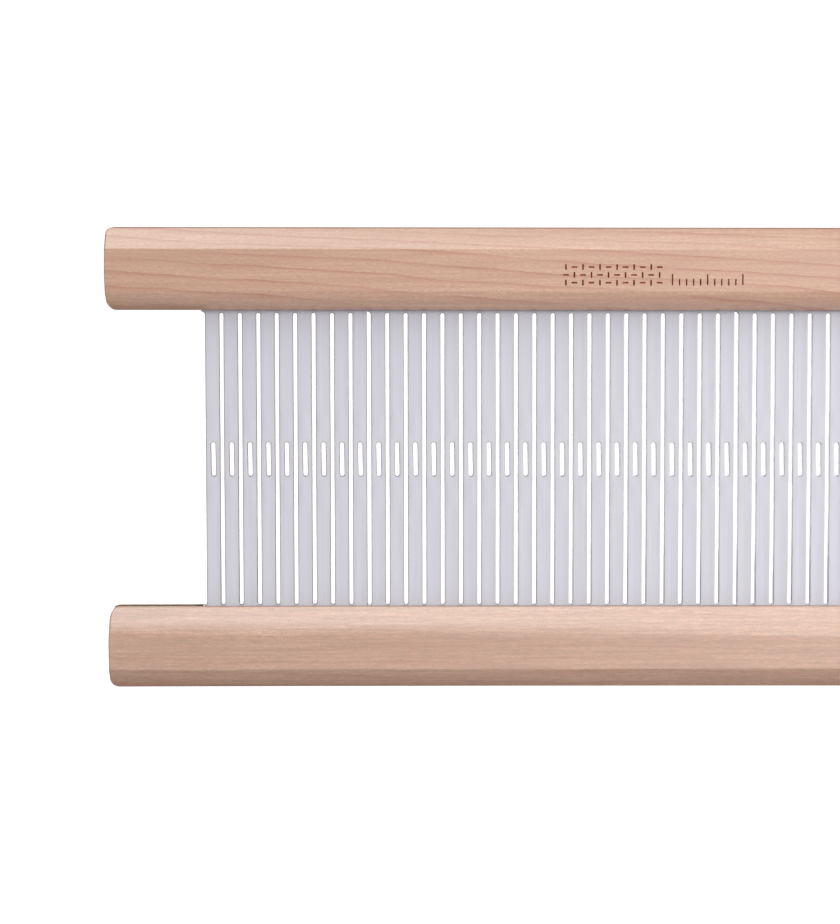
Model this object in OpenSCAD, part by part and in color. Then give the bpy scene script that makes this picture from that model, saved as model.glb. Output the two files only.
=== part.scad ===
// Rigid heddle reed for a small weaving loom.
// Two wooden bars hold a row of moulded nylon dents between them.
// Warp threads pass in turn through the open slots and the small eyes.
// X runs along the bars, Y through the thickness and Z up along the dents.
// The origin is under the middle of the lower bar, and every length is in millimetres.

/* [Dents] */
// Spacing of the dents, and so of the slots and of the eyes
dent_pitch = 5; // [4:0.5:10]
// Width of the open slot between two dents
slot_gap = 1.12; // [0.8:0.02:1.6]
// Length of the open slots
slot_len = 79.7; // [60:0.1:120]
// Width of the eye in each dent
eye_w = 1.24; // [0.8:0.02:1.6]
// Length of the eye in each dent
eye_len = 9.3; // [5:0.1:14]
// Thickness of the nylon
reed_t = 3; // [2:0.1:3]

/* [Moulded sections] */
// Dents in the short section at the left
short_section_dents = 9; // [3:1:19]
// Dents in each full section
full_section_dents = 20; // [10:1:24]
// Strip of rail that shows between a slot's end and the wooden bar
rail_show = 0.65; // [0.4:0.05:2]
// How far the rail runs into the groove of the bar
rail_tongue = 8; // [5:0.5:10]
// Fillet where the first dent of a section meets its rail
rail_fillet_r = 1; // [0.5:0.05:1]
// Extra length of the slot where two sections meet
joint_slot_extra = 0.4; // [0:0.1:0.6]
// Clearance between the ends of two sections
section_gap = 0.1; // [0.05:0.05:0.3]

/* [Bars] */
// Height of each bar
bar_h = 22; // [21:0.1:23]
// Thickness of each bar
bar_t = 15; // [14:0.5:17]
// Height of the flat on the front and on the back of a bar
bar_flat = 11.5; // [10.5:0.5:12.5]
// Width of the narrow flat along the top and along the bottom of a bar
bar_edge = 5.8; // [5:0.2:6.2]
// Angle of the crease between the flat and the outer bevel, in degrees
outer_crease = 28; // [15:1:28]
// Angle of the crease between the flat and the rounder bevel beside the dents, in degrees
inner_crease = 10; // [5:1:20]
// Length of bar beyond the outer dents, which rests in the loom
bar_overhang = 26.75; // [15:0.25:40]
// Radius of the corners at the ends of a bar
bar_corner_r = 2.3; // [1:0.1:4]
// How far the middle of a bar's end stands out from its corners
end_bulge = 0.35; // [0.1:0.05:1]

/* [Groove] */
// Width of the groove that takes the rails
groove_w = 3.2; // [3.1:0.1:3.6]
// Room left for glue between a rail and the bottom of its groove
glue_t = 1; // [0.4:0.1:1.6]

/* [Burned mark] */
// Depth of the burned ornament
mark_depth = 0.3; // [0.1:0.1:0.6]
// Columns of short strokes in the woven emblem
emblem_columns = 12; // [5:1:13]
// Distance from the bar's middle to the emblem's first column
emblem_shift = 24.5; // [24.5:0.5:40]
// Ticks in the row beside the emblem
tick_count = 11; // [6:5:16]

/* [Hidden] */

small_fn = 32;
arc_fn = 128;
dome_fn = 720;
cut_margin = 1;

// Overall sizes
dent_w = dent_pitch - slot_gap;
dent_count = short_section_dents + 2 * full_section_dents;
reed_w = dent_count * dent_pitch - slot_gap;
bar_len = reed_w + 2 * bar_overhang;
opening_h = slot_len + 2 * rail_show;
reed_mid_z = bar_h + opening_h / 2;
top_bar_z = bar_h + opening_h + bar_h / 2;
bottom_bar_z = bar_h / 2;
rail_half_h = opening_h / 2 + rail_tongue;
groove_depth = rail_tongue + glue_t;

// Rounded bevels of a bar, from the edge of the flat to the edge of the narrow flat
bevel_rise = (bar_h - bar_flat) / 2;
bevel_depth = (bar_t - bar_edge) / 2;
bevel_chord = sqrt(bevel_rise * bevel_rise + bevel_depth * bevel_depth);
bevel_slope = atan2(bevel_depth, bevel_rise);
dome_r = (bar_h * bar_h / 4 + end_bulge * end_bulge) / (2 * end_bulge);

// Burned mark: strokes of the emblem, then ticks
stroke_pitch = 2.3;
stroke_row_pitch = 2.1;
stroke_long = 1.9;
stroke_thick = 0.55;
emblem_rows = 3;
emblem_mid_z = -1.2;
tick_start = 4.3;
tick_pitch = 1.9;
tick_w = 0.45;
tick_h = 2.2;
long_tick_h = 3.6;
long_tick_every = 5;
tick_base_z = emblem_mid_z - stroke_row_pitch - stroke_long / 2;

wood = [0.80, 0.66, 0.58];
nylon = [0.84, 0.83, 0.87];
glue = [0.86, 0.80, 0.62];

function dent_left_x(index) = -reed_w / 2 + index * dent_pitch;
function bevel_radius(crease) = bevel_chord / (2 * sin(bevel_slope - crease));

// An upright slot with round ends, about its own middle
module oblong(width, length) {
    square([width, length - width], center = true);
    for (side = [-1, 1])
        translate([0, side * (length - width) / 2])
            circle(d = width, $fn = small_fn);
}

// The gap beside the first dent of a section, open to the left, with filleted corners
module left_notch() {
    length = slot_len + 2 * joint_slot_extra;
    left = -slot_gap - cut_margin;
    translate([left, -length / 2])
        square([-left - rail_fillet_r, length]);
    translate([left, -length / 2 + rail_fillet_r])
        square([-left, length - 2 * rail_fillet_r]);
    for (side = [-1, 1])
        translate([-rail_fillet_r, side * (length / 2 - rail_fillet_r)])
            circle(r = rail_fillet_r, $fn = small_fn);
}

// Front view of one moulded section: rails, dents, slots and eyes
module section_outline(count) {
    width = count * dent_pitch - slot_gap;
    difference() {
        translate([section_gap - slot_gap, -rail_half_h])
            square([width + slot_gap - section_gap, 2 * rail_half_h]);
        left_notch();
        for (index = [1 : count - 1])
            translate([index * dent_pitch - slot_gap / 2, 0])
                oblong(slot_gap, slot_len);
        for (index = [0 : count - 1])
            translate([index * dent_pitch + dent_w / 2, 0])
                oblong(eye_w, eye_len);
    }
}

// One moulded section, starting at the given dent of the row
module reed_section(first, count) {
    color(nylon)
        translate([dent_left_x(first), reed_t / 2, reed_mid_z])
            rotate([90, 0, 0])
                linear_extrude(height = reed_t)
                    section_outline(count);
}

module reed_section_left() {
    reed_section(0, short_section_dents);
}

module reed_section_middle() {
    reed_section(short_section_dents, full_section_dents);
}

module reed_section_right() {
    reed_section(short_section_dents + full_section_dents, full_section_dents);
}

// What one rounded bevel takes off the upper corner at the back of a bar's section
module bevel_cut(crease) {
    radius = bevel_radius(crease);
    difference() {
        translate([bar_edge / 2 - cut_margin / 2, bar_flat / 2 - cut_margin / 2])
            square([bevel_depth + 2 * cut_margin, bevel_rise + 2 * cut_margin]);
        translate([bar_t / 2 - radius * cos(crease), bar_flat / 2 - radius * sin(crease)])
            circle(r = radius, $fn = arc_fn);
    }
}

// Cross-section of a bar, thickness across and height up, about its own middle.
// The outer bevels are above and the inner bevels below, on the side of the groove.
module bar_profile() {
    difference() {
        square([bar_t, bar_h], center = true);
        for (side_y = [0, 1])
            mirror([side_y, 0]) {
                bevel_cut(outer_crease);
                mirror([0, 1])
                    bevel_cut(inner_crease);
            }
    }
}

// Front view of a bar with rounded corners and slightly domed ends
module bar_outline() {
    corner_x = bar_len / 2 - bar_corner_r;
    corner_z = bar_h / 2 - bar_corner_r;
    intersection() {
        union() {
            square([bar_len, 2 * corner_z], center = true);
            square([2 * corner_x, bar_h], center = true);
            for (side_x = [-1, 1], side_z = [-1, 1])
                translate([side_x * corner_x, side_z * corner_z])
                    circle(r = bar_corner_r, $fn = small_fn);
        }
        translate([bar_len / 2 - dome_r, 0])
            circle(r = dome_r, $fn = dome_fn);
        translate([dome_r - bar_len / 2, 0])
            circle(r = dome_r, $fn = dome_fn);
    }
}

// A bar about its own middle, with its groove facing down
module bar() {
    difference() {
        intersection() {
            rotate([90, 0, 90])
                linear_extrude(height = bar_len + 2 * cut_margin, center = true)
                    bar_profile();
            rotate([90, 0, 0])
                linear_extrude(height = bar_t + 2 * cut_margin, center = true)
                    bar_outline();
        }
        translate([0, 0, (groove_depth - bar_h - cut_margin) / 2])
            cube([bar_len + 2 * cut_margin, groove_w, groove_depth + cut_margin], center = true);
    }
}

// A plain-weave emblem: upright and level strokes that take turns
module emblem_strokes() {
    for (column = [0 : emblem_columns - 1], row = [0 : emblem_rows - 1]) {
        upright = (column + row) % 2 == 0;
        size_x = upright ? stroke_thick : stroke_long;
        size_z = upright ? stroke_long : stroke_thick;
        translate([
            column * stroke_pitch - emblem_shift,
            0,
            emblem_mid_z + (row - (emblem_rows - 1) / 2) * stroke_row_pitch
        ])
            cube([size_x, 2 * mark_depth, size_z], center = true);
    }
}

// A row of ticks, longer at every fifth one
module ticks() {
    for (index = [0 : tick_count - 1]) {
        height = index % long_tick_every == 0 ? long_tick_h : tick_h;
        translate([tick_start + index * tick_pitch, 0, tick_base_z + height / 2])
            cube([tick_w, 2 * mark_depth, height], center = true);
    }
}

module top_bar() {
    color(wood)
        translate([0, 0, top_bar_z])
            difference() {
                bar();
                translate([0, -bar_t / 2, 0]) {
                    emblem_strokes();
                    ticks();
                }
            }
}

module bottom_bar() {
    color(wood)
        translate([0, 0, bottom_bar_z])
            mirror([0, 0, 1])
                bar();
}

// The bead of glue between the rails and the bottom of a groove
module glue_bead() {
    color(glue)
        cube([reed_w, groove_w, glue_t], center = true);
}

module top_glue_line() {
    translate([0, 0, reed_mid_z + rail_half_h + glue_t / 2])
        glue_bead();
}

module bottom_glue_line() {
    translate([0, 0, reed_mid_z - rail_half_h - glue_t / 2])
        glue_bead();
}

top_bar();
bottom_bar();
reed_section_left();
reed_section_middle();
reed_section_right();
top_glue_line();
bottom_glue_line();
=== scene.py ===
"""Looks of a rigid heddle reed: two wooden bars and a comb of moulded nylon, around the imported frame."""
import math

import bmesh
import bpy
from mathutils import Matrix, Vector
from mathutils.geometry import delaunay_2d_cdt


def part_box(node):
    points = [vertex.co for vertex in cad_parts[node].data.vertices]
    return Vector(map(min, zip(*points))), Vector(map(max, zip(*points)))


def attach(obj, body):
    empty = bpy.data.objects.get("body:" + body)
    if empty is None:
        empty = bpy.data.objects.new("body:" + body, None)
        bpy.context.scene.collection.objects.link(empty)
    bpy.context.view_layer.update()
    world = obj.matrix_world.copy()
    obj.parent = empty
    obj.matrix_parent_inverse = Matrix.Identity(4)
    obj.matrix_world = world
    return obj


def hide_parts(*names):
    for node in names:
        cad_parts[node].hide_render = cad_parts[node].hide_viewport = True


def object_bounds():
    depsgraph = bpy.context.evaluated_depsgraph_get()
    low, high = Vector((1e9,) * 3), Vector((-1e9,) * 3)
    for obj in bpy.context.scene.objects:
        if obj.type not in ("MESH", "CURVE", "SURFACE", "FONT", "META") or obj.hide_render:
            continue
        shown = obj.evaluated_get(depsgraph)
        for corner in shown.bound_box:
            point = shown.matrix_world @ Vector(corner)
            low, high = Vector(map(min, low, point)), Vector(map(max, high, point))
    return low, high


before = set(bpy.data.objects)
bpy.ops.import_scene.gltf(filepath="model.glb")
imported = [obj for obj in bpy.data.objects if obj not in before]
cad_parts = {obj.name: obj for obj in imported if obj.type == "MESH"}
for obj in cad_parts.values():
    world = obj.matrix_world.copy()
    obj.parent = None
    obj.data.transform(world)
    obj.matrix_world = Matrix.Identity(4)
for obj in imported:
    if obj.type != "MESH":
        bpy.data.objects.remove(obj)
cad_low, cad_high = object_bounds()

MM = 0.001

# ---------------------------------------------------------------- sizes, in metres

# Bars
BAR_EDGE = 5.8 * MM
BAR_END_EASE = 0.5 * MM
END_EASE_ANGLES = (90, 67, 45, 22, 0)
GROOVE_WIDTH = 3.2 * MM
GROOVE_DEPTH = 9.0 * MM
LIP_EASE = 0.25 * MM
LIP_ROUND = 0.3
NARROW_EASE = 0.35 * MM
BEVEL_STEPS = 18
BEVEL_SEARCH_STEPS = 30
CREASE_STEPS = 4
NARROW_STEPS = 8
MITRE_LIMIT = 0.5
STATION_STEP = 5.0 * MM
END_CLEAR = 4.2 * MM

# Each bar's bevels: the rise, the crease angle, the share of the way over which the bevel turns,
# and how far the softening of the crease reaches
TOP_OUTER_BEVEL = (5.6 * MM, math.radians(36.5), 1.0, 0.3 * MM)
TOP_INNER_BEVEL = (5.5 * MM, math.radians(14), 1.0, 0.3 * MM)
BOTTOM_OUTER_BEVEL = (5.3 * MM, math.radians(33), 1.0, 0.3 * MM)
BOTTOM_INNER_BEVEL = (8.0 * MM, math.radians(12), 0.45, 0.4 * MM)

# Each bar's ends: a corner's height, its length and the dome's bulge, outside and then inside,
# and then how much longer the bar is at each end than the CAD bar
TOP_END = ((1.7 * MM, 1.7 * MM, 0.3 * MM), (3.2 * MM, 2.1 * MM, 0.7 * MM), 0.3 * MM)
BOTTOM_END = ((2.6 * MM, 2.1 * MM, 0.35 * MM), (3.0 * MM, 2.0 * MM, 0.4 * MM), -0.3 * MM)
TOP_LIFT = 0.3 * MM
BOTTOM_BOW = 0.2 * MM

# Comb
DENT_PITCH = 5.0 * MM
SLOT_GAP = 1.12 * MM
DENT_WIDTH = DENT_PITCH - SLOT_GAP
SLOT_LENGTH = 79.7 * MM
EYE_WIDTH = 1.19 * MM
EYE_LENGTH = 9.3 * MM
EYE_LEAN = math.radians(0.84)
EYE_SHIFT = 0.1 * MM
RAIL_FILLET = 1.0 * MM
JOINT_SLOT_EXTRA = 0.4 * MM
SLOT_DROP = 0.19 * MM
COMB_LEAN = math.radians(0.21)
SINK = 0.03 * MM
PAD_CROWN = 0.20 * MM
EDGE_RADIUS = 0.25 * MM
EDGE_STEPS = 4
WALL_DRAFT = 0.03 * MM
SIDE_STEP = 2.6 * MM
ROUND_STEPS = 8
MERGE_DISTANCE = 1e-7

# Sides of a dent: how far they swell at mid-height, and at the pads above and below the eye
MIDDLE_SWELL = 0.035 * MM
PAD_SWELL = 0.03 * MM
PAD_PLACE = 5.8 * MM
PAD_REACH = 1.2 * MM

# Face of a dent: how much thinner its ends are, where its crown stands, and where it runs into the rail
DENT_THINNING = 0.12 * MM
CROWN_PLACE = 9.5 * MM
CROWN_REACH = 2.4 * MM
RAIL_MARGIN = 0.5 * MM
RAIL_BLEND = 3.0 * MM
OPEN_POINT_MARGIN = 1.2 * MM
OPEN_POINT_SHARES = (-0.45, 0.0, 0.45)

# Glue: its wave and its ripple are a share of its size, and radians to the metre
GLUE_TAIL = 1.2 * MM
GLUE_DOME = 3.0 * MM
GLUE_TIP = 0.08
GLUE_SQUARENESS = 0.5
GLUE_FILL = 0.97
GLUE_WAVE = (0.02, 900)
GLUE_RIPPLE = (0.01, 2300)
GLUE_STEPS = 120
GLUE_SIDES = 16

# Burned mark
MARK_DEPTH = 0.3 * MM
CUTTER_MARGIN = 1.0 * MM
STROKE_TAPER = 0.8
STROKE_PITCH = 2.3 * MM
STROKE_ROW_PITCH = 2.1 * MM
STROKE_LONG = 1.9 * MM
STROKE_THICK = 0.55 * MM
EMBLEM_COLUMNS = 12
EMBLEM_ROWS = 3
EMBLEM_START = -24.5 * MM
EMBLEM_MID_Z = -1.2 * MM
TICK_START = 4.3 * MM
TICK_PITCH = 1.9 * MM
TICK_WIDTH = 0.45 * MM
TICK_HEIGHT = 2.2 * MM
LONG_TICK_HEIGHT = 3.6 * MM
TICK_COUNT = 11
LONG_TICK_EVERY = 5

# Stage: colours are linear, and the world's two looks are a colour and a strength
FLOOR_SIZE = 30
FLOOR_DARK = (0.45, 0.45, 0.45, 1)
FLOOR_PALE = (0.49, 0.49, 0.49, 1)
WORLD_SEEN = ((1, 1, 1, 1), 1.05)
WORLD_FILL = ((0.95, 0.97, 1.0, 1), 0.18)
CAMERA_FOCAL_MM = 136.4
CAMERA_SENSOR_MM = 36
CAMERA_PLACE = (-0.07752, -0.95152, 0.14715)
CAMERA_TURN = tuple(math.radians(angle) for angle in (84.854, -0.089, -0.827))


# ---------------------------------------------------------------- mesh helpers

def new_object(name, bm):
    """Turns a bmesh into a linked object with outward normals."""
    bmesh.ops.recalc_face_normals(bm, faces=bm.faces)
    mesh = bpy.data.meshes.new(name)
    bm.to_mesh(mesh)
    bm.free()
    obj = bpy.data.objects.new(name, mesh)
    bpy.context.scene.collection.objects.link(obj)
    return obj


def shade(obj, sharp_angle):
    """Smooth shading, with edges over the angle left sharp and flats kept flat."""
    obj.data.shade_smooth()
    obj.data.set_sharp_from_angle(angle=math.radians(sharp_angle))
    weighted = obj.modifiers.new("weighted_normals", "WEIGHTED_NORMAL")
    weighted.keep_sharp = True
    weighted.weight = 90


def soften(points, index, reach, steps):
    """Replaces a corner of a line of points by a short curve that starts and ends at reach from it."""
    corner = points[index]
    start = corner + (points[index - 1] - corner).normalized() * reach
    end = corner + (points[index + 1] - corner).normalized() * reach
    curve = []
    for step in range(steps + 1):
        t = step / steps
        curve.append(start * (1 - t) ** 2 + corner * 2 * t * (1 - t) + end * t ** 2)
    return points[:index] + curve + points[index + 1:]


# ---------------------------------------------------------------- wooden bars

def bevel_directions(slope, crease, bend):
    """Unit steps, as (y, z), that climb from the front flat to the narrow flat: they turn evenly from the
    crease angle over the first share of the way, then run straight, and head for the slope in all."""

    def steps_to(last):
        steps = []
        for index in range(BEVEL_STEPS):
            turn = min(1.0, (index + 0.5) / (BEVEL_STEPS * bend))
            angle = crease + (last - crease) * turn
            steps.append(Vector((math.sin(angle), math.cos(angle))))
        return steps

    low, high = slope, math.pi / 2
    for _ in range(BEVEL_SEARCH_STEPS):
        last = (low + high) / 2
        total = sum(steps_to(last), Vector((0, 0)))
        if math.atan2(total.x, total.y) < slope:
            low = last
        else:
            high = last
    return steps_to(last)


def bevel(height, thickness, rise, crease, bend, reach):
    """Points of a rounded bevel from the narrow top flat to the front flat, as (y, z) about the middle.
    It leaves the flat at the crease angle, and the crease itself is softened over the reach."""
    depth = (thickness - BAR_EDGE) / 2
    steps = bevel_directions(math.atan2(depth, rise), crease, bend)
    size = depth / sum(step.x for step in steps)
    arc = [Vector((-thickness / 2, height / 2 - rise))]
    for step in steps:
        arc.append(arc[-1] + step * size)
    arc.reverse()
    points = [Vector((0, height / 2))] + arc + [Vector((-thickness / 2, 0))]
    points = soften(points, len(points) - 2, reach, CREASE_STEPS)
    points = soften(points, 1, NARROW_EASE, NARROW_STEPS)
    return points[1:-1]


def front_half(height, thickness, outer_bevel, inner_bevel):
    """Front half of a bar's section: outer points from the top's middle round to the lip,
    and the matching points of the groove's wall. The groove faces down."""
    upper = bevel(height, thickness, *outer_bevel)
    lower = [Vector((p.x, -p.y)) for p in reversed(bevel(height, thickness, *inner_bevel))]
    outer = [Vector((0, height / 2))] + upper
    outer.append(Vector((-thickness / 2, 0)))
    groove_top = len(outer)
    outer.append(Vector((-thickness / 2, GROOVE_DEPTH - height / 2)))
    outer += lower
    outer.append(Vector(((lower[-1].x - GROOVE_WIDTH / 2) / 2, -height / 2)))
    wall = [Vector((-GROOVE_WIDTH / 2, p.y)) for p in outer[groove_top:]]
    wall[-1] = Vector((-GROOVE_WIDTH / 2 - LIP_EASE, -height / 2))
    wall[-2] = Vector((-GROOVE_WIDTH / 2 - LIP_EASE * LIP_ROUND, -height / 2 + LIP_EASE * LIP_ROUND))
    wall[-3] = Vector((-GROOVE_WIDTH / 2, -height / 2 + LIP_EASE))
    return outer, wall, groove_top


def section_loop(outer, wall):
    """Closed loop of a bar's section, front then back, with the groove."""
    front = outer + list(reversed(wall))
    back = [Vector((-p.x, p.y)) for p in reversed(outer[1:] + list(reversed(wall)))]
    return front + back


def inset(loop, distance):
    """Moves every point of a closed loop inwards along its mitred normal."""
    moved = []
    count = len(loop)
    for i, point in enumerate(loop):
        before = (point - loop[i - 1]).normalized()
        after = (loop[(i + 1) % count] - point).normalized()
        normal = Vector((-before.y - after.y, before.x + after.x)).normalized()
        spread = max(MITRE_LIMIT, normal.dot(Vector((-after.y, after.x))))
        moved.append(point + normal * (distance / spread))
    return moved


def end_reach(z, length, height, end_shape):
    """How far a bar runs from its middle at height z: a domed end with rounded corners.
    The shape gives the corner's height, its length and the dome's bulge, outside and then inside,
    and then how far the end stands out."""
    corner_height, corner_length, bulge = end_shape[0] if z > 0 else end_shape[1]
    into_corner = max(0.0, abs(z) - (height / 2 - corner_height)) / corner_height
    corner = corner_length * (1 - math.sqrt(1 - min(1.0, into_corner) ** 2))
    return length / 2 - bulge * (2 * z / height) ** 2 - corner


def cap_faces(bm, ring, outer_count, groove_top):
    """Closes a bar's end with a ladder of faces between its front and its back."""
    total = len(ring)
    wall_count = outer_count - groove_top

    def front(i):
        return ring[i]

    def back(i):
        return ring[(total - i) % total]

    def front_wall(i):
        return ring[outer_count + (wall_count - 1) - (i - groove_top)]

    def back_wall(i):
        return ring[total - outer_count - (wall_count - 1) + (i - groove_top)]

    for i in range(groove_top):
        if i == 0:
            bm.faces.new((front(0), front(1), back(1)))
        elif i == groove_top - 1:
            bm.faces.new((
                front(i), front(i + 1), front_wall(i + 1), back_wall(i + 1), back(i + 1), back(i)
            ))
        else:
            bm.faces.new((front(i), front(i + 1), back(i + 1), back(i)))
    for i in range(groove_top, outer_count - 1):
        bm.faces.new((front(i), front(i + 1), front_wall(i + 1), front_wall(i)))
        bm.faces.new((back(i), back(i + 1), back_wall(i + 1), back_wall(i)))


def bar_mesh(name, node, groove_down, outer_bevel, inner_bevel, end_shape, bow, lift):
    """A grooved bar with rounded bevels and eased, domed ends, in the place of a CAD bar.
    It bows upwards in the middle, and its outer half stands out by the lift."""
    low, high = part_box(node)
    length = high.x - low.x + 2 * end_shape[2]
    thickness = high.y - low.y
    height = high.z - low.z
    middle = (low + high) / 2
    outer, wall, groove_top = front_half(height, thickness, outer_bevel, inner_bevel)
    loop = section_loop(outer, wall)
    flip = 1 if groove_down else -1

    bm = bmesh.new()

    def add_ring(points, x_of):
        ring = []
        for p in points:
            x = x_of(p.y)
            sag = bow * (1 - (2 * x / length) ** 2)
            outwards = p.y + lift if p.y > 0 else p.y
            ring.append(bm.verts.new((middle.x + x, middle.y + p.x, middle.z + flip * outwards + sag)))
        return ring

    rings = []
    for side in (-1, 1):
        end_rings = []
        for angle in map(math.radians, END_EASE_ANGLES):
            shrink = BAR_END_EASE * (1 - math.cos(angle))
            back_off = BAR_END_EASE * (1 - math.sin(angle))
            points = inset(loop, shrink)
            end_rings.append(add_ring(
                points, lambda z, b=back_off, s=side: s * (end_reach(z, length, height, end_shape) - b)
            ))
        if side < 0:
            rings += end_rings
            reach = length / 2 - END_CLEAR
            steps = round(2 * reach / STATION_STEP)
            for step in range(steps + 1):
                x = -reach + 2 * reach * step / steps
                rings.append(add_ring(loop, lambda z, at=x: at))
        else:
            rings += list(reversed(end_rings))
    for first, second in zip(rings, rings[1:]):
        for i in range(len(loop)):
            j = (i + 1) % len(loop)
            bm.faces.new((first[i], first[j], second[j], second[i]))
    cap_faces(bm, rings[0], len(outer), groove_top)
    cap_faces(bm, rings[-1], len(outer), groove_top)
    return new_object(name, bm)


# ---------------------------------------------------------------- burned mark

def capsule_cutter(bm, x, z, size_x, size_z, y_out, y_in):
    """A round-ended prism that cuts one stroke of the mark."""
    radius = min(size_x, size_z) / 2
    half = max(size_x, size_z) / 2 - radius
    upright = size_z > size_x
    outline = []
    for end, start_angle in ((1, 0.0), (-1, math.pi)):
        for step in range(ROUND_STEPS + 1):
            angle = start_angle + math.pi * step / ROUND_STEPS
            along = end * half + radius * math.sin(angle)
            across = radius * math.cos(angle)
            outline.append((across, along) if upright else (along, -across))
    near = [bm.verts.new((x + a, y_out, z + b)) for a, b in outline]
    far = [bm.verts.new((x + a * STROKE_TAPER, y_in, z + b * STROKE_TAPER)) for a, b in outline]
    count = len(outline)
    for i in range(count):
        j = (i + 1) % count
        bm.faces.new((near[i], near[j], far[j], far[i]))
    bm.faces.new(near)
    bm.faces.new(list(reversed(far)))


def mark_cutters(node):
    """Every stroke of the woven emblem and every tick of the row beside it, as one cutting mesh."""
    low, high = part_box(node)
    middle = (low + high) / 2
    y_out = low.y - CUTTER_MARGIN
    y_in = low.y + MARK_DEPTH
    bm = bmesh.new()
    for column in range(EMBLEM_COLUMNS):
        for row in range(EMBLEM_ROWS):
            upright = (column + row) % 2 == 0
            size_x = STROKE_THICK if upright else STROKE_LONG
            size_z = STROKE_LONG if upright else STROKE_THICK
            x = middle.x + EMBLEM_START + column * STROKE_PITCH
            z = middle.z + EMBLEM_MID_Z + (row - (EMBLEM_ROWS - 1) / 2) * STROKE_ROW_PITCH
            capsule_cutter(bm, x, z, size_x, size_z, y_out, y_in)
    tick_base = middle.z + EMBLEM_MID_Z - STROKE_ROW_PITCH - STROKE_LONG / 2
    for index in range(TICK_COUNT):
        height = LONG_TICK_HEIGHT if index % LONG_TICK_EVERY == 0 else TICK_HEIGHT
        x = middle.x + TICK_START + index * TICK_PITCH
        capsule_cutter(bm, x, tick_base + height / 2, TICK_WIDTH, height, y_out, y_in)
    return new_object("mark_cutters", bm)


def carve(obj, cutter, cut_material):
    """Cuts the mark into a bar, and gives the cut faces their own material."""
    cutter.data.materials.append(cut_material)
    cut = obj.modifiers.new("carve", "BOOLEAN")
    cut.operation = "DIFFERENCE"
    cut.solver = "EXACT"
    cut.material_mode = "TRANSFER"
    cut.object = cutter
    bpy.context.view_layer.update()
    evaluated = obj.evaluated_get(bpy.context.evaluated_depsgraph_get())
    carved = bpy.data.meshes.new_from_object(evaluated)
    obj.modifiers.remove(cut)
    obj.data = carved
    bpy.data.objects.remove(cutter)


# ---------------------------------------------------------------- nylon comb

def slot_half_width(away, half_length, gap):
    """Half the width of a slot at a height: the dents swell a little at mid-height and at the pads."""
    swell = MIDDLE_SWELL * (1 - (away / half_length) ** 2)
    pads = PAD_SWELL * math.exp(-((abs(away) - PAD_PLACE) / PAD_REACH) ** 2)
    return gap / 2 - swell - pads


def oblong(x, z, width, length, grow, lean=0.0, shaped=False):
    """Closed loop of an upright round-ended opening, grown outwards into the material."""
    radius = width / 2
    half = length / 2 - radius
    side_count = max(4, round(2 * half / SIDE_STEP))
    loop = []
    for side in (1, -1):
        for step in range(side_count):
            along = side * (-half + 2 * half * step / side_count)
            across = slot_half_width(along, half, width) if shaped else radius
            loop.append((side * (across + grow), along))
        across = slot_half_width(half, half, width) if shaped else radius
        loop.append((side * (across + grow), side * half))
        for step in range(1, ROUND_STEPS):
            angle = math.pi * step / ROUND_STEPS
            loop.append((
                side * (radius + grow) * math.cos(angle),
                side * (half + (radius + grow) * math.sin(angle)),
            ))
    tilt = math.sin(lean)
    return [Vector((x + a - tilt * b, z + b)) for a, b in loop]


def encloses(loop, x, z):
    """Whether a closed loop goes round a point."""
    inside = False
    for i, p in enumerate(loop):
        q = loop[i - 1]
        if (p.y > z) != (q.y > z) and x < p.x + (z - p.y) / (q.y - p.y) * (q.x - p.x):
            inside = not inside
    return inside


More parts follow.
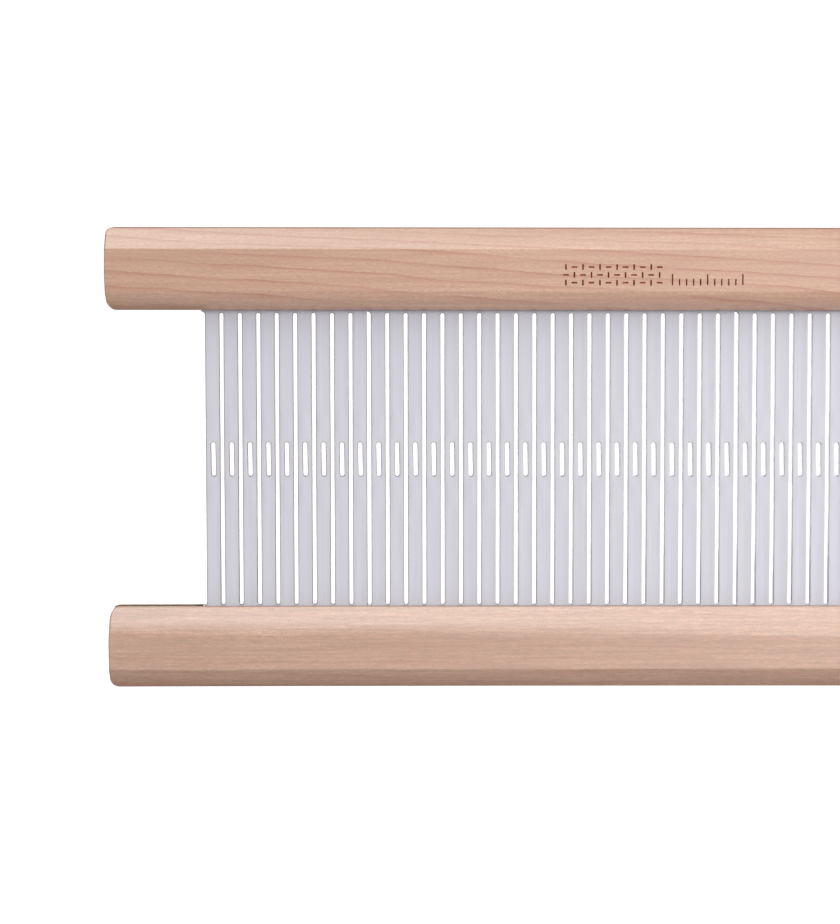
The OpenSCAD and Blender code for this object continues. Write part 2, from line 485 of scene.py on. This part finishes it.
class Section:
    """Where the dents, slots and eyes of one moulded section stand."""

    def __init__(self, node):
        self.low, self.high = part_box(node)
        self.mid_z = (self.low.z + self.high.z) / 2 - SLOT_DROP
        dent_count = round((self.high.x - self.low.x) / DENT_PITCH)
        self.left = self.high.x - (dent_count * DENT_PITCH - SLOT_GAP)
        first_dent = self.left + DENT_WIDTH / 2
        self.dents = [first_dent + i * DENT_PITCH for i in range(dent_count)]

    def fillet(self, shrink, sign):
        """Rounded corner where the rail meets the first dent, from the rail's end to the dent."""
        radius = RAIL_FILLET + shrink
        centre_x = self.left - RAIL_FILLET
        centre_z = sign * (SLOT_LENGTH / 2 + JOINT_SLOT_EXTRA - RAIL_FILLET)
        share = (self.low.x + shrink - centre_x) / radius
        start_angle = math.acos(min(1.0, max(-1.0, share)))
        points = []
        for step in range(ROUND_STEPS + 1):
            angle = start_angle * (1 - step / ROUND_STEPS)
            points.append(Vector((
                centre_x + radius * math.cos(angle),
                self.mid_z + centre_z + sign * radius * math.sin(angle),
            )))
        return points

    def outline(self, shrink):
        """Outline of the section, shrunk into the material: rails, outer dents and the left notch."""
        bottom = self.low.z + shrink
        top = self.high.z - shrink
        notch = SLOT_LENGTH / 2 + JOINT_SLOT_EXTRA - RAIL_FILLET
        left_side = []
        left_count = round(2 * notch / SIDE_STEP)
        for step in range(1, left_count):
            z = notch * (1 - 2 * step / left_count)
            left_side.append(Vector((self.left + shrink, self.mid_z + z)))
        right_side = []
        right_count = round((self.high.z - self.low.z) / SIDE_STEP)
        for step in range(right_count + 1):
            z = bottom + (top - bottom) * step / right_count
            right_side.append(Vector((self.high.x - shrink, z)))
        return (
            [Vector((self.low.x + shrink, bottom))]
            + right_side
            + [Vector((self.low.x + shrink, top))]
            + self.fillet(shrink, 1)
            + left_side
            + list(reversed(self.fillet(shrink, -1)))
        )

    def loops(self, shrink):
        """Every closed loop of the section, shrunk into the material: its outline, the eyes, the slots."""
        made = [self.outline(shrink)]
        for centre in self.dents:
            made.append(oblong(
                centre + EYE_SHIFT, self.mid_z, EYE_WIDTH, EYE_LENGTH, shrink, lean=EYE_LEAN
            ))
        for centre in self.dents[1:]:
            made.append(oblong(
                centre - DENT_PITCH / 2, self.mid_z, SLOT_GAP, SLOT_LENGTH, shrink, shaped=True
            ))
        return made

    def depth(self, point):
        """Half the thickness of the nylon: lens-shaped along a dent, sunk a little across it and crowned
        beyond the eye."""
        away = abs(point.y - self.mid_z)
        reach = min(1.0, away / (SLOT_LENGTH / 2))
        blend = min(1.0, max(0.0, (SLOT_LENGTH / 2 + RAIL_MARGIN - away) / RAIL_BLEND))
        nearest = min(self.dents, key=lambda centre: abs(point.x - centre))
        across = min(1.0, abs(point.x - nearest) / (DENT_WIDTH / 2))
        crown = PAD_CROWN * math.exp(-((away - CROWN_PLACE) / CROWN_REACH) ** 2) - SINK
        reed_t = self.high.y - self.low.y
        return reed_t / 2 - SINK - blend * (DENT_THINNING * reach ** 2 + crown * across ** 2)

    def flat(self, inner):
        """Triangles of the flat inside the innermost loops. For each point it also gives the loop and the
        place in the loop that it comes from, or None for a point in the open."""
        points, edges, tags = [], [], []
        for loop_index, loop in enumerate(inner):
            start = len(points)
            for i, p in enumerate(loop):
                points.append(Vector((p.x, p.y)))
                tags.append((loop_index, i))
                edges.append((start + i, start + (i + 1) % len(loop)))
        rows = round(SLOT_LENGTH / SIDE_STEP)
        for centre in self.dents:
            for row in range(rows + 1):
                z = -SLOT_LENGTH / 2 + SLOT_LENGTH * row / rows
                if abs(z) < EYE_LENGTH / 2 + OPEN_POINT_MARGIN:
                    continue
                for share in OPEN_POINT_SHARES:
                    x = centre + share * (DENT_WIDTH / 2 - EDGE_RADIUS)
                    points.append(Vector((x, self.mid_z + z)))
                    tags.append(None)
        flat_points, _, triangles, origins = delaunay_2d_cdt(points, edges, [], 1, MERGE_DISTANCE)[:4]
        spans = [(min(p.x for p in loop), max(p.x for p in loop), loop) for loop in inner[1:]]
        solid = []
        for triangle in triangles:
            x = sum(flat_points[i].x for i in triangle) / len(triangle)
            z = sum(flat_points[i].y for i in triangle) / len(triangle)
            in_opening = any(start < x < end and encloses(loop, x, z) for start, end, loop in spans)
            if encloses(inner[0], x, z) and not in_opening:
                solid.append(triangle)
        return flat_points, solid, [tags[source[0]] if source else None for source in origins]


def join_loops(bm, first, second):
    """Faces between two sets of matching closed loops."""
    for a, b in zip(first, second):
        for i in range(len(a)):
            j = (i + 1) % len(a)
            bm.faces.new((a[i], a[j], b[j], b[i]))


def comb_mesh(name, node):
    """One moulded nylon section: dents with rounded edges, slots, eyes and rails, all leaning a little."""
    section = Section(node)
    angles = [math.pi / 2 * step / EDGE_STEPS for step in range(EDGE_STEPS + 1)]
    rings = [section.loops(EDGE_RADIUS * (1 - math.cos(angle))) for angle in angles]
    flat_points, triangles, tags = section.flat(rings[-1])

    bm = bmesh.new()
    walls = []
    for side in (-1, 1):
        ring_verts = []
        for angle, ring in zip(angles, rings):
            drop = EDGE_RADIUS * (1 - math.sin(angle))
            ring_verts.append([
                [bm.verts.new((p.x, side * (section.depth(p) - drop), p.y)) for p in loop]
                for loop in ring
            ])
        for first, second in zip(ring_verts, ring_verts[1:]):
            join_loops(bm, first, second)
        flat_verts = []
        for p, tag in zip(flat_points, tags):
            if tag:
                flat_verts.append(ring_verts[-1][tag[0]][tag[1]])
            else:
                flat_verts.append(bm.verts.new((p.x, side * section.depth(p), p.y)))
        for triangle in triangles:
            bm.faces.new([flat_verts[i] for i in triangle])
        walls.append(ring_verts[0])
    parting = [[bm.verts.new((p.x, 0.0, p.y)) for p in loop] for loop in section.loops(-WALL_DRAFT)]
    for wall in walls:
        join_loops(bm, wall, parting)
    for vert in bm.verts:
        vert.co.x -= math.tan(COMB_LEAN) * (vert.co.z - section.mid_z)
    loose = [vert for vert in bm.verts if not vert.link_faces]
    bmesh.ops.delete(bm, geom=loose, context="VERTS")
    return new_object(name, bm)


# ---------------------------------------------------------------- glue beads

def glue_mesh(name, node):
    """The bead of glue at the bottom of a groove, with domed ends and a slightly uneven face."""
    low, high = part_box(node)
    middle = (low + high) / 2
    half_y = (high.y - low.y) / 2
    half_z = (high.z - low.z) / 2
    start = low.x - GLUE_TAIL
    end = high.x + GLUE_TAIL
    bm = bmesh.new()
    rings = []
    for step in range(GLUE_STEPS + 1):
        x = start + (end - start) * step / GLUE_STEPS
        into = min(1.0, min(x - start, end - x) / GLUE_DOME)
        dome = max(GLUE_TIP, math.sqrt(max(0.0, 1 - (1 - into) ** 2)))
        wave = GLUE_WAVE[0] * math.sin(x * GLUE_WAVE[1])
        ripple = GLUE_RIPPLE[0] * math.sin(x * GLUE_RIPPLE[1])
        swell = dome * (GLUE_FILL + wave + ripple)
        ring = []
        for i in range(GLUE_SIDES):
            angle = 2 * math.pi * i / GLUE_SIDES
            c, s = math.cos(angle), math.sin(angle)
            y = half_y * math.copysign(abs(c) ** GLUE_SQUARENESS, c)
            z = half_z * math.copysign(abs(s) ** GLUE_SQUARENESS, s)
            ring.append(bm.verts.new((x, middle.y + y * swell, middle.z + z * swell)))
        rings.append(ring)
    join_loops(bm, rings, rings[1:])
    bm.faces.new(rings[0])
    bm.faces.new(rings[-1])
    return new_object(name, bm)


# ---------------------------------------------------------------- material nodes

def srgb(r, g, b):
    """An 8-bit sRGB colour as the linear colour that nodes take."""
    linear = []
    for value in (r, g, b):
        v = value / 255
        linear.append(v / 12.92 if v <= 0.04045 else ((v + 0.055) / 1.055) ** 2.4)
    return (*linear, 1.0)


class Nodes:
    """A short way to write a node material."""

    def __init__(self, name):
        self.material = bpy.data.materials.new(name)
        self.material.use_nodes = True
        self.tree = self.material.node_tree
        self.tree.nodes.clear()
        self.place = self.add("ShaderNodeTexCoord").outputs["Object"]

    def put(self, socket, value):
        """Links a socket to a value that is a socket, or sets it."""
        if isinstance(value, bpy.types.NodeSocket):
            self.tree.links.new(value, socket)
        else:
            socket.default_value = value

    def add(self, kind, values=None, **settings):
        node = self.tree.nodes.new(kind)
        for key, value in settings.items():
            setattr(node, key, value)
        for key, value in (values or {}).items():
            self.put(node.inputs[key], value)
        return node

    def math(self, operation, a, b=0.0):
        return self.add("ShaderNodeMath", {0: a, 1: b}, operation=operation).outputs[0]

    def mix(self, amount, a, b, mode="MIX"):
        """Mixes two colours."""
        node = self.add("ShaderNodeMix", data_type="RGBA", blend_type=mode)
        for key, value in ((0, amount), (6, a), (7, b)):
            self.put(node.inputs[key], value)
        return node.outputs[2]

    def parts(self, vector):
        """The x, y and z of a vector."""
        return self.add("ShaderNodeSeparateXYZ", {0: vector}).outputs

    def noise(self, vector, waves, detail=2.0, roughness=0.5):
        """Noise with so many waves to the metre along x, y and z."""
        stretched = self.add("ShaderNodeMapping", {"Vector": vector, "Scale": waves})
        node = self.add("ShaderNodeTexNoise", {
            "Vector": stretched.outputs[0], "Scale": 1.0, "Detail": detail, "Roughness": roughness,
        })
        return node.outputs["Fac"]

    def ramp(self, value, low, high, from_value=0.0, to_value=1.0):
        node = self.add("ShaderNodeMapRange", {
            "Value": value, "From Min": low, "From Max": high,
            "To Min": from_value, "To Max": to_value,
        }, clamp=True)
        return node.outputs[0]

    def grazing(self, low, high, amount):
        """Rises from 0 to amount where the surface turns away from the viewer."""
        facing = self.add("ShaderNodeLayerWeight", {"Blend": 0.5}).outputs["Facing"]
        return self.ramp(facing, low, high, 0.0, amount)

    def fade(self, distance, reach, amount):
        """Falls off from amount at no distance, ever more slowly."""
        share = self.math("EXPONENT", self.math("MULTIPLY", distance, -1 / reach))
        return self.math("MULTIPLY", self.math("MINIMUM", share, 1.0), amount)

    def bump(self, height, strength, distance):
        node = self.add("ShaderNodeBump", {"Strength": strength, "Distance": distance, "Height": height})
        return node.outputs[0]

    def finish(self, shader):
        self.add("ShaderNodeOutputMaterial", {"Surface": shader.outputs[0]})
        return self.material


# ---------------------------------------------------------------- wood

# Tones of the wood, from the ground up
GROUND_DARK = srgb(200, 152, 118)
GROUND_PALE = srgb(222, 178, 145)
CLOUD = srgb(215, 164, 134)
SOFT_RING = srgb(188, 126, 90)
FIBRE = srgb(169, 115, 80)
SPECK = srgb(172, 116, 82)
FLECK = srgb(168, 118, 92)
THIN_RING = srgb(172, 88, 48)
PALE_SHEEN_TONE = srgb(218, 190, 172)
SHADED_EDGE = srgb(104, 72, 56)
END_DARK = srgb(176, 138, 114)
END_PALE = srgb(200, 166, 144)
END_RING = srgb(150, 108, 84)
CHAR_DARK = srgb(122, 50, 26)
CHAR_PALE = srgb(176, 92, 56)

# Waves of noise to the metre along the bar, through it and up it
BAND_WAVES = (7, 120, 170)
CLOUD_WAVES = (14, 26, 40)
FIBRE_WAVES = (36, 1300, 1300)
SPECK_WAVES = (700, 3600, 3600)
FLECK_WAVES = (420, 2400, 3000)
STREAK_WAVES = (300, 3600, 3600)
PORE_WAVES = (3600, 3600, 3600)
END_PORE_WAVES = (900, 2600, 2600)

# The surface counts as seen edge on between these two, where 1 is fully edge on
EDGE_ON_START = 0.78
EDGE_ON_FULL = 0.95

# How much the depth in the wood moves the growth lines, where the height moves them by 1
DEPTH_SHARE = 0.35

# Along the bar, paler wood and painted sheen go from their left amount to their right amount between these
PALE_SHEEN_LEFT = -0.12
PALE_SHEEN_RIGHT = 0.03


def growth_rings(n, place, slope, spacing):
    """How far a place is through its growth ring, from 0 to 1. The rings drift down along the bar."""
    x, y, z = n.parts(place)
    wander = n.noise(place, (9, 30, 60), detail=3.0)
    jitter = n.noise(place, (90, 200, 500))
    line = n.math("ADD", z, n.math("MULTIPLY", x, slope))
    line = n.math("ADD", line, n.math("MULTIPLY", y, DEPTH_SHARE))
    line = n.math("ADD", line, n.math("MULTIPLY", wander, 5.5 * MM))
    line = n.math("ADD", line, n.math("MULTIPLY", jitter, 0.8 * MM))
    return n.math("FRACT", n.math("DIVIDE", line, spacing))


def end_grain(n, place, soft_ring):
    """Colour of the bars' ends, with the rings cut across, and the share that it takes."""
    pores = n.noise(place, END_PORE_WAVES)
    colour = n.mix(n.ramp(pores, 0.35, 0.7), END_DARK, END_PALE)
    colour = n.mix(n.math("MULTIPLY", soft_ring, 0.35), colour, END_RING)
    normal = n.parts(n.add("ShaderNodeNewGeometry").outputs["Normal"])
    return colour, n.ramp(n.math("ABSOLUTE", normal[0]), 0.55, 0.9)


def wood_material(
    name, slope, ring_spacing, ring_strength, fibre_strength, pale_sheen_amounts, grain, sheen_share, shift
):
    """Pale fine-grained hardwood: growth lines, fibres, flecks and end grain under a satin finish.
    It is paled towards a whitish tone by the first amount at the left and by the second at the right:
    partly a paler board, partly painted white sheen. The grain gives the strength of the streaks and of
    the pores, and the shift picks another part of the board."""
    n = Nodes(name)
    place = n.add("ShaderNodeMapping", {"Vector": n.place, "Location": shift}).outputs[0]
    x = n.parts(place)[0]

    saw = growth_rings(n, place, slope, ring_spacing)
    soft_ring = n.math("POWER", saw, 2.0)
    uneven = n.noise(place, (28, 60, 160))
    thin_ring = n.math("MULTIPLY", n.math("POWER", saw, 9.0), n.ramp(uneven, 0.34, 0.58))
    fibre = n.noise(place, FIBRE_WAVES, detail=5.0, roughness=0.7)
    band = n.noise(place, BAND_WAVES, detail=3.0, roughness=0.6)
    cloud = n.noise(place, CLOUD_WAVES)
    fleck = n.ramp(n.noise(place, FLECK_WAVES, detail=1.0), 0.64, 0.74)
    speck = n.noise(place, SPECK_WAVES, roughness=0.8)

    colour = n.mix(n.ramp(band, 0.3, 0.72), GROUND_DARK, GROUND_PALE)
    colour = n.mix(n.ramp(cloud, 0.35, 0.7, 0.0, 0.4), colour, CLOUD)
    colour = n.mix(n.math("MULTIPLY", soft_ring, 0.22 * ring_strength), colour, SOFT_RING)
    colour = n.mix(n.ramp(fibre, 0.40, 0.60, 0.0, fibre_strength), colour, FIBRE)
    colour = n.mix(n.ramp(speck, 0.41, 0.59, 0.0, 0.5), colour, SPECK)
    colour = n.mix(n.math("MULTIPLY", fleck, 0.22), colour, FLECK)
    colour = n.mix(n.math("MULTIPLY", thin_ring, ring_strength), colour, THIN_RING)
    # painted sheen and paler wood: the colour goes towards a whitish tone by an amount that changes along
    # the bar
    pale_sheen = n.ramp(x, shift[0] + PALE_SHEEN_LEFT, shift[0] + PALE_SHEEN_RIGHT, *pale_sheen_amounts)
    colour = n.mix(pale_sheen, colour, PALE_SHEEN_TONE)
    for waves, strength in zip((STREAK_WAVES, PORE_WAVES), grain):
        fine = n.noise(place, waves, detail=1.0)
        tone = n.ramp(fine, 0.25, 0.75, 1 - strength, 1 + strength)
        colour = n.mix(1.0, colour, tone, mode="MULTIPLY")
    end_colour, end_share = end_grain(n, place, soft_ring)
    colour = n.mix(end_share, colour, end_colour)
    colour = n.mix(n.grazing(EDGE_ON_START, EDGE_ON_FULL, 0.5), colour, SHADED_EDGE)

    height = n.math("ADD", n.math("MULTIPLY", fibre, 0.6), n.math("MULTIPLY", fleck, -0.5))
    bump = n.bump(height, 0.25, 0.05 * MM)
    body = n.add("ShaderNodeBsdfPrincipled", {
        "Base Color": colour, "Roughness": n.ramp(fibre, 0.2, 0.8, 0.46, 0.58),
        "Normal": bump, "Specular IOR Level": 0.2,
    })
    sheen = n.add("ShaderNodeBsdfGlossy", {"Color": (1, 1, 1, 1), "Roughness": 0.42, "Normal": bump})
    share = n.math("SUBTRACT", sheen_share, n.grazing(EDGE_ON_START, EDGE_ON_FULL, sheen_share))
    return n.finish(n.add("ShaderNodeMixShader", {0: share, 1: body.outputs[0], 2: sheen.outputs[0]}))


def burnt_material():
    """Wood scorched dark reddish brown, uneven in tone."""
    n = Nodes("burnt_wood")
    char = n.noise(n.place, (900, 900, 1600), detail=3.0)
    return n.finish(n.add("ShaderNodeBsdfPrincipled", {
        "Base Color": n.mix(n.ramp(char, 0.3, 0.7), CHAR_DARK, CHAR_PALE), "Roughness": 0.85,
        "Normal": n.bump(char, 0.5, 0.05 * MM), "Specular IOR Level": 0.2,
    }))


# ---------------------------------------------------------------- nylon and glue

NYLON_DARK = srgb(209, 208, 217)
NYLON_PALE = srgb(218, 217, 226)
NYLON_CLOUD = srgb(213, 213, 220)
NYLON_SHADE = srgb(150, 147, 156)
NYLON_THROUGH = srgb(236, 235, 244)
# Painted shade on the rims of the openings, darker at their ends and on their right
RIM_SHADE = srgb(146, 124, 118)
RIM_SHADE_AT_ENDS = srgb(110, 84, 76)
RIM_SHADE_AT_RIGHT = srgb(78, 50, 42)
GLUE_DARK = srgb(206, 178, 120)
GLUE_PALE = srgb(226, 206, 160)

# Along the reed, the shading changes from the left look to the right look between these
LOOK_LEFT = -0.11
LOOK_RIGHT = 0.02
RIM_LOOK_RIGHT = 0.0

# The shading beside each bar: how far it reaches and how strong it is
SHADE_UNDER_TOP = (7.3 * MM, 0.42)
SHADE_OVER_BOTTOM = (3.2 * MM, 0.26)


def shade_by_bars(n, colour, bottom_z, top_z):
    """Darkens the nylon towards the two bars."""
    height = n.parts(n.place)[2]
    under_top = n.fade(n.math("SUBTRACT", top_z, height), *SHADE_UNDER_TOP)
    over_bottom = n.fade(n.math("SUBTRACT", height, bottom_z), *SHADE_OVER_BOTTOM)
    return n.mix(n.math("ADD", under_top, over_bottom), colour, NYLON_SHADE)


def shade_across_dents(n, colour, dent_x):
    """Darkens both edges of each dent, and the right half of the dents at the right."""
    along = n.parts(n.place)[0]
    pitches = n.math("DIVIDE", n.math("SUBTRACT", along, dent_x - DENT_PITCH / 2), DENT_PITCH)
    half_gap = SLOT_GAP / DENT_PITCH / 2
    across = n.ramp(n.math("FRACT", pitches), half_gap, 1 - half_gap, -1.0, 1.0)
    sides = n.math("POWER", n.ramp(n.math("ABSOLUTE", across), 0.4, 1.0), 2.0)
    sides = n.math("MULTIPLY", sides, n.ramp(along, LOOK_LEFT, LOOK_RIGHT, 0.2, 0.06))
    right_half = n.ramp(across, -0.3, 1.0)
    right_half = n.math("MULTIPLY", right_half, n.ramp(along, LOOK_LEFT, LOOK_RIGHT, 0.0, 0.12))
    return n.mix(n.math("ADD", sides, right_half), colour, NYLON_SHADE)


def paint_rim_shade(n, colour):
    """Painted shade: a thin brownish dark line on the rims of the openings, strongest on the right of the
    dents at the left. The walls behind the rims take it only where they are seen almost edge on. The
    colour comes back with the share that is painted with shade."""
    along = n.parts(n.place)[0]
    normal = n.parts(n.add("ShaderNodeNewGeometry").outputs["Normal"])
    facing = n.math("ABSOLUTE", normal[1])
    round_edge = n.math("MULTIPLY", n.ramp(facing, 0.985, 0.8), n.ramp(facing, 0.12, 0.4))
    sideways = n.ramp(n.math("ABSOLUTE", normal[0]), 0.6, 0.9)
    edge_on = n.math("MULTIPLY", n.grazing(0.8, 0.93, 1.0), sideways)
    shown = n.math("MAXIMUM", round_edge, edge_on)
    rim = n.ramp(along, LOOK_LEFT, RIM_LOOK_RIGHT, 0.80, 0.12)
    ends = n.ramp(n.math("ABSOLUTE", normal[2]), 0.2, 0.6, 0.0, 0.6)
    right = n.ramp(along, LOOK_LEFT, RIM_LOOK_RIGHT, 1.0, 0.2)
    right = n.math("MULTIPLY", right, n.ramp(normal[0], 0.0, 0.25))
    # painted shade on the rims, in three tones
    for amount, tone in ((rim, RIM_SHADE), (ends, RIM_SHADE_AT_ENDS), (right, RIM_SHADE_AT_RIGHT)):
        colour = n.mix(n.math("MULTIPLY", amount, shown), colour, tone)
    return colour, shown


def nylon_material(bottom_z, top_z, dent_x):
    """Moulded white nylon: slightly translucent, satin, with faint flow streaks along the dents.
    The bars stand at the two heights, and one dent stands at dent_x."""
    n = Nodes("nylon")
    streak = n.noise(n.place, (1500, 800, 18), detail=3.0)
    cloud = n.noise(n.place, (60, 60, 40))
    grain = n.noise(n.place, (9000, 9000, 9000), detail=1.0)
    colour = n.mix(n.ramp(streak, 0.3, 0.7), NYLON_DARK, NYLON_PALE)
    colour = n.mix(n.ramp(cloud, 0.3, 0.7, 0.0, 0.5), colour, NYLON_CLOUD)
    colour = shade_by_bars(n, colour, bottom_z, top_z)
    colour = shade_across_dents(n, colour, dent_x)
    # painted shade on the rims and on walls seen almost edge on; the shine is cut there too
    colour, rim_shade_share = paint_rim_shade(n, colour)
    height = n.math("ADD", n.math("MULTIPLY", streak, 0.7), n.math("MULTIPLY", grain, 0.15))
    body = n.add("ShaderNodeBsdfPrincipled", {
        "Base Color": colour, "Roughness": n.ramp(cloud, 0.2, 0.8, 0.30, 0.42),
        "Normal": n.bump(height, 0.2, 0.03 * MM),
        "Specular IOR Level": n.math("SUBTRACT", 0.5, n.math("MULTIPLY", rim_shade_share, 0.45)),
    })
    through = n.add("ShaderNodeBsdfTranslucent", {"Color": NYLON_THROUGH})
    return n.finish(n.add("ShaderNodeMixShader", {0: 0.12, 1: body.outputs[0], 2: through.outputs[0]}))


def glue_material():
    """Dried wood glue: amber, glossy, slightly clouded."""
    n = Nodes("dried_glue")
    cloud = n.noise(n.place, (300, 800, 800), detail=3.0)
    return n.finish(n.add("ShaderNodeBsdfPrincipled", {
        "Base Color": n.mix(n.ramp(cloud, 0.3, 0.7), GLUE_DARK, GLUE_PALE), "Roughness": 0.3,
        "Normal": n.bump(cloud, 0.3, 0.05 * MM), "Coat Weight": 0.3,
    }))


# ---------------------------------------------------------------- the pieces

reed_pieces = bpy.data.collections.new("reed_pieces")


def add_piece(piece, node, material, sharp_angle):
    """Gives a piece its material and shading, and puts it in the place of a CAD node."""
    piece.data.materials.append(material)
    if node == "top_bar":
        carve(piece, mark_cutters(node), burnt_material())
    shade(piece, sharp_angle)
    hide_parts(node)
    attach(piece, "root")
    reed_pieces.objects.link(piece)


top_wood = wood_material(
    "wood_top_bar", slope=0.068, ring_spacing=3.6 * MM, ring_strength=1.0, fibre_strength=0.40,
    pale_sheen_amounts=(0.05, 0.02), grain=(0.03, 0.17), sheen_share=0.25, shift=(0.0, 0.0, 0.0)
)
bottom_wood = wood_material(
    "wood_bottom_bar", slope=0.0, ring_spacing=3.2 * MM, ring_strength=0.6, fibre_strength=0.6,
    pale_sheen_amounts=(0.06, 0.10), grain=(0.17, 0.22), sheen_share=0.3, shift=(0.31, 0.02, 0.013)
)
last_dent_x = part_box("reed_section_right")[1].x - DENT_WIDTH / 2
nylon = nylon_material(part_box("bottom_bar")[1].z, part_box("top_bar")[0].z, last_dent_x)
glue = glue_material()

top_bar = bar_mesh(
    "wood_bar_top", "top_bar", True, TOP_OUTER_BEVEL, TOP_INNER_BEVEL, TOP_END, bow=0.0, lift=TOP_LIFT
)
bottom_bar = bar_mesh(
    "wood_bar_bottom", "bottom_bar", False, BOTTOM_OUTER_BEVEL, BOTTOM_INNER_BEVEL, BOTTOM_END,
    bow=BOTTOM_BOW, lift=0.0
)
add_piece(top_bar, "top_bar", top_wood, sharp_angle=35)
add_piece(bottom_bar, "bottom_bar", bottom_wood, sharp_angle=35)
for side in ("left", "middle", "right"):
    comb = comb_mesh("nylon_section_" + side, "reed_section_" + side)
    add_piece(comb, "reed_section_" + side, nylon, sharp_angle=40)
for side in ("top", "bottom"):
    bead = glue_mesh("glue_bead_" + side, side + "_glue_line")
    add_piece(bead, side + "_glue_line", glue, sharp_angle=50)


# ---------------------------------------------------------------- stage, light and camera

def floor_material():
    """A plain pale floor that reads as white paper to the camera and as soft grey to the light."""
    n = Nodes("paper_floor")
    fleck = n.noise(n.place, (400, 400, 400))
    colour = n.mix(n.ramp(fleck, 0.3, 0.7), FLOOR_DARK, FLOOR_PALE)
    paper = n.add("ShaderNodeBsdfDiffuse", {"Color": colour})
    glow = n.add("ShaderNodeEmission", {"Color": (1, 1, 1, 1), "Strength": 1.0})
    lit = n.add("ShaderNodeAddShader", {0: paper.outputs[0], 1: glow.outputs[0]})
    seen = n.add("ShaderNodeLightPath").outputs["Is Camera Ray"]
    return n.finish(n.add("ShaderNodeMixShader", {0: seen, 1: paper.outputs[0], 2: lit.outputs[0]}))


def add_floor():
    """A wide flat floor under the reed."""
    bpy.ops.mesh.primitive_plane_add(size=FLOOR_SIZE, location=(0, 0, cad_low.z))
    floor = bpy.context.object
    floor.name = "floor"
    floor.data.materials.append(floor_material())


def add_world():
    """White to the camera, and an even grey to everything else."""
    world = bpy.data.worlds.new("studio")
    bpy.context.scene.world = world
    world.use_nodes = True
    tree = world.node_tree
    tree.nodes.clear()
    path = tree.nodes.new("ShaderNodeLightPath")
    mix = tree.nodes.new("ShaderNodeMixShader")
    output = tree.nodes.new("ShaderNodeOutputWorld")
    tree.links.new(path.outputs["Is Camera Ray"], mix.inputs[0])
    for slot, (colour, strength) in ((1, WORLD_FILL), (2, WORLD_SEEN)):
        background = tree.nodes.new("ShaderNodeBackground")
        background.inputs["Color"].default_value = colour
        background.inputs["Strength"].default_value = strength
        tree.links.new(background.outputs[0], mix.inputs[slot])
    tree.links.new(mix.outputs[0], output.inputs["Surface"])


def add_softbox(name, location, target, width, height, power, colour=(1, 1, 1)):
    """A rectangular soft light that points at a target."""
    data = bpy.data.lights.new(name, "AREA")
    data.shape = "RECTANGLE"
    data.size = width
    data.size_y = height
    data.energy = power
    data.color = colour
    light = bpy.data.objects.new(name, data)
    bpy.context.scene.collection.objects.link(light)
    light.location = location
    light.rotation_euler = (Vector(target) - Vector(location)).to_track_quat("-Z", "Y").to_euler()
    return light


def add_lights():
    """A large key at the right, a soft light above, a weak one at the left, and a low one behind that
    lights the edges of the dents and not the floor."""
    middle = ((cad_low + cad_high) / 2).to_tuple()
    add_softbox(
        "key", (1.03, -1.03, 0.45), middle, width=0.5, height=0.95, power=26.5, colour=(1.0, 0.99, 0.98)
    )
    add_softbox("top", (-0.32, -0.34, 1.18), (-0.04, 0.0, 0.06), width=1.6, height=0.64, power=5.2)
    add_softbox("left", (-1.25, -0.85, 0.25), middle, width=0.8, height=0.8, power=3.5)
    behind = add_softbox(
        "backdrop", (-0.12, 0.3, 0.062), (-0.12, 0.0, 0.062), width=0.6, height=0.12, power=0.85
    )
    behind.visible_camera = False
    behind.light_linking.receiver_collection = reed_pieces


def add_camera():
    """The camera stands in front of the left part of the reed and looks down a little."""
    data = bpy.data.cameras.new("camera")
    data.lens = CAMERA_FOCAL_MM
    data.sensor_width = CAMERA_SENSOR_MM
    data.clip_start = 0.01
    data.clip_end = 100
    camera = bpy.data.objects.new("camera", data)
    bpy.context.scene.collection.objects.link(camera)
    camera.location = CAMERA_PLACE
    camera.rotation_euler = CAMERA_TURN
    bpy.context.scene.camera = camera


add_floor()
add_world()
add_lights()
add_camera()
bpy.context.scene.view_settings.view_transform = "Standard"
